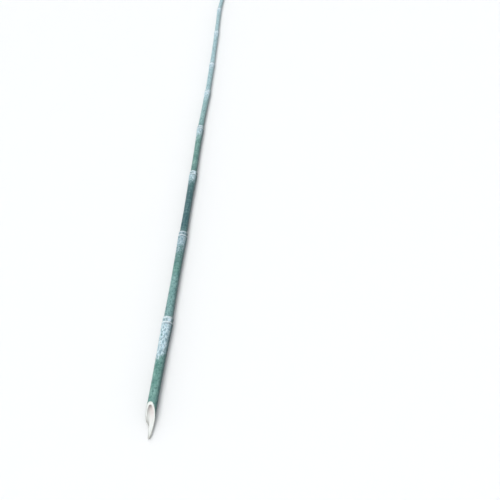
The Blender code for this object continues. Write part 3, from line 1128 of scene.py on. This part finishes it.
def strand(path, thickness, points, faces, tips):
    """Adds one tapering strand of fibre, four-sided, along a path."""
    sides = 4
    start = len(points)
    count = len(path)
    for n, at in enumerate(path):
        ahead = path[min(n + 1, count - 1)] - path[max(n - 1, 0)]
        ahead = ahead / np.linalg.norm(ahead)
        side = np.cross(ahead, (0.0, 0.0, 1.0))
        side = side / np.linalg.norm(side)
        over = np.cross(side, ahead)
        width = thickness * (1 - 0.8 * n / (count - 1))
        for s in range(sides):
            angle = math.tau * s / sides
            point = at + width * (math.cos(angle) * side + 0.6 * math.sin(angle) * over)
            point[2] = max(point[2], 0.0)
            points.append(point)
            tips.append(n / (count - 1))
    for n in range(count - 1):
        for s in range(sides):
            a = start + n * sides + s
            b = start + n * sides + (s + 1) % sides
            faces.append((a, b, b + sides, a + sides))
    faces.append(tuple(start + s for s in range(sides))[::-1])
    faces.append(tuple(start + (count - 1) * sides + s for s in range(sides)))


def make_strands(sizes, material):
    """Loose strands of fibre along the splinter's torn edges and at the top cut's lower lip."""
    draw = random.Random(STRAND_SEED)
    points, faces, tips = [], [], []
    for _ in range(sizes.strands):
        turn = math.radians(draw.choice([draw.uniform(*turns) for turns in STRAND_TURNS]))
        radius = sizes.butt_radius - draw.uniform(*STRAND_DEPTHS)
        root = float(butt_cut(np.array(radius), np.array(turn)))
        length = min(draw.uniform(*STRAND_LENGTHS), root + 0.0006)
        curl = draw.uniform(0.0, STRAND_CURL)
        veer = draw.uniform(-STRAND_VEER, STRAND_VEER)
        if length < STRAND_ROOT:
            continue
        path = []
        for t in np.arange(STRAND_POINTS) / (STRAND_POINTS - 1):
            at = lay(radius, turn, root + STRAND_ROOT - length * t, sizes)
            path.append(at + np.array((veer * t * t, 0.0, curl * t * t)))
        strand(path, draw.uniform(*STRAND_THICKNESS), points, faces, tips)
    for _ in range(sizes.strands // 4):
        turn = TOP_CUT_ROLL - math.pi / 2 + draw.uniform(-TOP_STRAND_SPREAD, TOP_STRAND_SPREAD)
        radius = sizes.top_radius - draw.uniform(*TOP_STRAND_DEPTHS)
        root = float(top_cut(np.array(radius), np.array(turn), sizes)) - TOP_STRAND_ROOT
        length = draw.uniform(*TOP_STRAND_LENGTHS)
        path = []
        for t in np.arange(TOP_STRAND_POINTS) / (TOP_STRAND_POINTS - 1):
            at = lay(radius - TOP_STRAND_DROOP * t * t, turn, root + length * t, sizes)
            at[1] = min(at[1], CAD_HIGH.y + TOP_STRAND_END)
            path.append(at)
        if path[-1][1] - path[-2][1] > LEAST_STEP:
            strand(path, draw.uniform(*TOP_STRAND_THICKNESS), points, faces, tips)
    new_piece("torn_strands", points, faces, [material], {"tip": tips})


def settings(context):
    """The scene's sizes, colours and stage settings."""
    scene = context.scene
    return scene.bamboo_pole_sizes, scene.bamboo_pole_colours, scene.bamboo_pole_stage


class BAMBOO_OT_add_culm(bpy.types.Operator):
    """Build the culm with its nodes, cut ends and hollows"""

    bl_idname = "bamboo_pole.add_culm"
    bl_label = "Culm"
    bl_options = {"REGISTER", "UNDO"}

    def execute(self, context):
        sizes, colours, _ = settings(context)
        make_culm(sizes, [skin_finish(colours), wood_finish(colours), lining_finish(colours)])
        return {"FINISHED"}


class BAMBOO_OT_add_buds(bpy.types.Operator):
    """Lay a bud on every node, on alternate sides"""

    bl_idname = "bamboo_pole.add_buds"
    bl_label = "Buds"
    bl_options = {"REGISTER", "UNDO"}

    def execute(self, context):
        sizes, colours, _ = settings(context)
        make_buds(sizes, dry_finish("bud_scale", colours, colours.wax, colours.straw))
        return {"FINISHED"}


class BAMBOO_OT_add_fringe(bpy.types.Operator):
    """Set the torn base of its sheath on every scar"""

    bl_idname = "bamboo_pole.add_fringe"
    bl_label = "Sheath fringe"
    bl_options = {"REGISTER", "UNDO"}

    def execute(self, context):
        sizes, colours, _ = settings(context)
        make_fringe(sizes, dry_finish("sheath_paper", colours, colours.ring, colours.straw))
        return {"FINISHED"}


class BAMBOO_OT_add_strands(bpy.types.Operator):
    """Add the loose strands of fibre at the cuts"""

    bl_idname = "bamboo_pole.add_strands"
    bl_label = "Torn strands"
    bl_options = {"REGISTER", "UNDO"}

    def execute(self, context):
        sizes, colours, _ = settings(context)
        make_strands(sizes, dry_finish("fibre", colours, colours.pith, colours.straw))
        return {"FINISHED"}


class BAMBOO_OT_set_stage(bpy.types.Operator):
    """Lay the floor and set the lights and the camera"""

    bl_idname = "bamboo_pole.set_stage"
    bl_label = "Stage"
    bl_options = {"REGISTER", "UNDO"}

    def execute(self, context):
        _, _, stage = settings(context)
        lay_floor(stage)
        set_lights(context.scene, stage)
        set_camera(context.scene, stage)
        return {"FINISHED"}


def lay_floor(stage):
    """A plain pale floor at the height that the pole lies on, which sweeps up far around it like a dish."""
    bends = np.linspace(0.0, stage.edge_slope, FLOOR_BENDS)
    sweep = [(stage.floor_reach + stage.cove * math.sin(b), stage.cove * (1 - math.cos(b))) for b in bends]
    reach, height = sweep[-1]
    rim = reach + (stage.edge_height - height) / math.tan(stage.edge_slope)
    profile = sweep + [(rim, stage.edge_height)]
    turns = around(FLOOR_COLUMNS)
    points = [(0.0, 0.0, 0.0)]
    for reach, height in profile:
        points += [(reach * math.cos(turn), reach * math.sin(turn), height) for turn in turns]
    faces = [(0, 1 + c, 1 + (c + 1) % FLOOR_COLUMNS) for c in range(FLOOR_COLUMNS)]
    faces += grid_faces(len(profile), FLOOR_COLUMNS, 1)
    mesh = bpy.data.meshes.new("floor")
    mesh.from_pydata(points, [], faces)
    mesh.shade_smooth()
    floor = bpy.data.objects.new("floor", mesh)
    bpy.context.scene.collection.objects.link(floor)
    f = Finish("floor", 0.85)
    f.paint(stage.floor)
    f.shader.inputs["Specular IOR Level"].default_value = 0.2
    mesh.materials.append(f.material)


def set_lights(scene, stage):
    """A soft key light from the front and above, a weak one from behind, and an even pale sky."""
    lights = (("key", stage.key_from, stage.key_strength), ("sheen", stage.sheen_from, stage.sheen_strength))
    for name, side, strength in lights:
        light = bpy.data.lights.new(name, "SUN")
        light.energy = strength
        light.angle = stage.softness
        lamp = bpy.data.objects.new(name, light)
        lamp.rotation_euler = Vector(side).to_track_quat("Z", "Y").to_euler()
        scene.collection.objects.link(lamp)
    world = bpy.data.worlds.new("sky")
    world.use_nodes = True
    backdrop = world.node_tree.nodes["Background"]
    backdrop.inputs["Color"].default_value = (*stage.sky, 1.0)
    backdrop.inputs["Strength"].default_value = stage.sky_strength
    scene.world = world
    scene.view_settings.view_transform = "Standard"


def set_camera(scene, stage):
    """Looks down on the butt and along the pole."""
    data = bpy.data.cameras.new("camera")
    data.lens = stage.lens
    data.shift_x = stage.shift
    camera = bpy.data.objects.new("camera", data)
    camera.location = stage.camera_place
    camera.rotation_euler = (stage.camera_pitch, 0.0, stage.camera_heading)
    scene.collection.objects.link(camera)
    scene.camera = camera


class BAMBOO_PT_pole(bpy.types.Panel):
    """The pole's pieces, sizes and colours"""

    bl_label = "Bamboo Pole"
    bl_idname = "BAMBOO_PT_pole"
    bl_space_type = "VIEW_3D"
    bl_region_type = "UI"
    bl_category = "Bamboo Pole"

    def draw(self, context):
        for operator in OPERATORS:
            self.layout.operator(operator.bl_idname)
        for group in settings(context):
            box = self.layout.box()
            for name in group.__annotations__:
                box.prop(group, name)


OPERATORS = (
    BAMBOO_OT_add_culm,
    BAMBOO_OT_add_buds,
    BAMBOO_OT_add_fringe,
    BAMBOO_OT_add_strands,
    BAMBOO_OT_set_stage,
)
GROUPS = {
    "bamboo_pole_sizes": BambooPoleSizes,
    "bamboo_pole_colours": BambooPoleColours,
    "bamboo_pole_stage": BambooPoleStage,
}


def register():
    for group in GROUPS.values():
        bpy.utils.register_class(group)
    for name, group in GROUPS.items():
        setattr(bpy.types.Scene, name, PointerProperty(type=group))
    for operator in OPERATORS:
        bpy.utils.register_class(operator)
    bpy.utils.register_class(BAMBOO_PT_pole)


def unregister():
    bpy.utils.unregister_class(BAMBOO_PT_pole)
    for operator in OPERATORS[::-1]:
        bpy.utils.unregister_class(operator)
    for name in GROUPS:
        delattr(bpy.types.Scene, name)
    for group in list(GROUPS.values())[::-1]:
        bpy.utils.unregister_class(group)


def main():
    register()
    bpy.ops.bamboo_pole.add_culm()
    bpy.ops.bamboo_pole.add_buds()
    bpy.ops.bamboo_pole.add_fringe()
    bpy.ops.bamboo_pole.add_strands()
    bpy.ops.bamboo_pole.set_stage()


if __name__ == "__main__":
    main()
